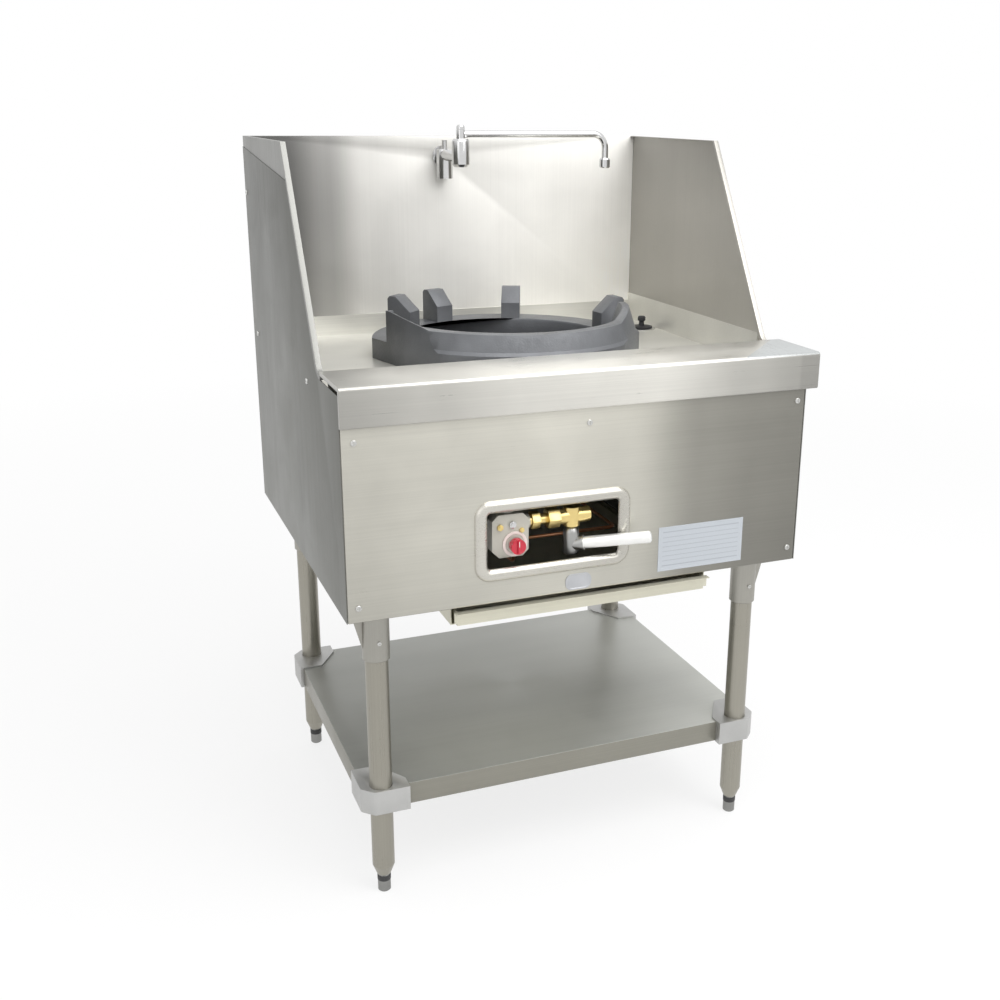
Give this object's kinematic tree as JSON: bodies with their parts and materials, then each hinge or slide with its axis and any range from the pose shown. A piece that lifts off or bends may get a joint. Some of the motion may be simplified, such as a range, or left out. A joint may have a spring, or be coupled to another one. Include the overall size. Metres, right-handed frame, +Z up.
{
  "type": "gas wok range",
  "caption": "Free-standing stainless gas wok range with a cast wok ring, sunken worktop, high splashback with swing tap, control window, drip tray and undershelf.",
  "frame": {"origin": "on the floor, under the middle of the whole bounding box", "axes": "+X to the right as seen from the front, +Y towards the splashback, +Z up"},
  "size_m": [0.8182, 0.7876, 1.252],
  "materials": {
    "side_steel": "fine brushed",
    "brushed_steel": "fine brushed",
    "zinc_steel": "satin",
    "leg_steel": "satin",
    "clamp_alloy": "cast satin",
    "cast_iron": "rough cast",
    "ring_iron": "rough cast",
    "valve_grey": "satin",
    "brass": "machined",
    "copper": "drawn",
    "knob_red": "gloss",
    "chrome": "polished",
    "plug_black": "matte",
    "label_white": "printed, blank",
    "badge_silver": "satin"
  },
  "bodies": {
    "cabinet": {"side_panel_left": "side_steel", "side_panel_right": "side_steel", "wing_left": "brushed_steel", "wing_right": "brushed_steel", "splashback": "brushed_steel", "rear_panel": "side_steel", "worktop_well": "brushed_steel", "front_rail": "brushed_steel", "front_panel": "brushed_steel", "window_frame": "brushed_steel", "base_frame": "zinc_steel", "leg_socket_front_left": "leg_steel", "leg_socket_front_right": "leg_steel", "leg_socket_rear_left": "leg_steel", "leg_socket_rear_right": "leg_steel", "leg_front_left": "leg_steel", "leg_front_right": "leg_steel", "leg_rear_left": "leg_steel", "leg_rear_right": "leg_steel", "shelf_clamp_front_left": "clamp_alloy", "shelf_clamp_front_right": "clamp_alloy", "shelf_clamp_rear_left": "clamp_alloy", "shelf_clamp_rear_right": "clamp_alloy", "shelf": "zinc_steel", "burner_chamber": "zinc_steel", "burner_head": "cast_iron", "mixing_tube": "cast_iron", "burner_bracket": "zinc_steel", "pilot_burner": "chrome", "gas_inlet_pipe": "zinc_steel", "flame_valve_body": "valve_grey", "brass_nipple": "brass", "main_valve_body": "brass", "injector_pipe": "brass", "pilot_tube": "copper", "water_pipe": "copper", "tap_inlet": "chrome", "tap_body": "chrome", "tap_cap_nut": "chrome", "waste_outlet": "chrome", "tray_runners": "zinc_steel", "data_plate": "label_white", "badge_plate": "badge_silver", "panel_screws": "chrome", "socket_screws": "chrome"},
    "gas_lever": {"lever_hub": "valve_grey", "lever_handle": "chrome"},
    "pilot_spindle_body": {"pilot_spindle": "chrome"},
    "pilot_knob_body": {"pilot_knob": "knob_red"},
    "wok_ring_body": {"wok_ring": "ring_iron"},
    "spout": {"tap_spout": "chrome", "spout_nozzle": "chrome"},
    "stop_valve": {"stop_spindle": "chrome"},
    "plug": {"waste_plug": "plug_black"},
    "tray": {"drip_tray": "zinc_steel"},
    "foot_fl": {"foot_front_left": "leg_steel"},
    "foot_fr": {"foot_front_right": "leg_steel"},
    "foot_rl": {"foot_rear_left": "leg_steel"},
    "foot_rr": {"foot_rear_right": "leg_steel"}
  },
  "joints": [
    {"name": "gas_lever_turn", "type": "hinge", "parent": "cabinet", "child": "gas_lever", "pos_m": [-0.0249, -0.31717, 0.604], "axis": [0, 0, -1], "range_deg": [0, 90]},
    {"name": "pilot_push", "type": "slide", "parent": "cabinet", "child": "pilot_spindle_body", "axis": [0, 1, 0], "range_m": [0, 0.004], "stiffness_N_per_m": 400},
    {"name": "pilot_turn", "type": "hinge", "parent": "pilot_spindle_body", "child": "pilot_knob_body", "pos_m": [-0.1289, -0.33717, 0.622], "axis": [0, -1, 0], "range_deg": [0, 90]},
    {"name": "tray_slide", "type": "slide", "parent": "cabinet", "child": "tray", "axis": [0, -1, 0], "range_m": [0, 0.4]},
    {"name": "ring_lift", "type": "slide", "parent": "cabinet", "child": "wok_ring_body", "axis": [0, 0, 1], "range_m": [0, 0.15]},
    {"name": "plug_lift", "type": "slide", "parent": "cabinet", "child": "plug", "axis": [0, 0, 1], "range_m": [0, 0.05]},
    {"name": "spout_swing", "type": "hinge", "parent": "cabinet", "child": "spout", "pos_m": [-0.0279, 0.21883, 1.2355], "axis": [0, 0, -1], "range_deg": [0, 160]},
    {"name": "stop_valve_turn", "type": "hinge", "parent": "cabinet", "child": "stop_valve", "pos_m": [-0.0279, 0.31883, 1.21], "axis": [0, 0, -1], "range_deg": [0, 90]},
    {"name": "foot_fl_adjust", "type": "slide", "parent": "cabinet", "child": "foot_fl", "axis": [0, 0, -1], "range_m": [0, 0.025]},
    {"name": "foot_fr_adjust", "type": "slide", "parent": "cabinet", "child": "foot_fr", "axis": [0, 0, -1], "range_m": [0, 0.025]},
    {"name": "foot_rl_adjust", "type": "slide", "parent": "cabinet", "child": "foot_rl", "axis": [0, 0, -1], "range_m": [0, 0.025]},
    {"name": "foot_rr_adjust", "type": "slide", "parent": "cabinet", "child": "foot_rr", "axis": [0, 0, -1], "range_m": [0, 0.025]}
  ]
}
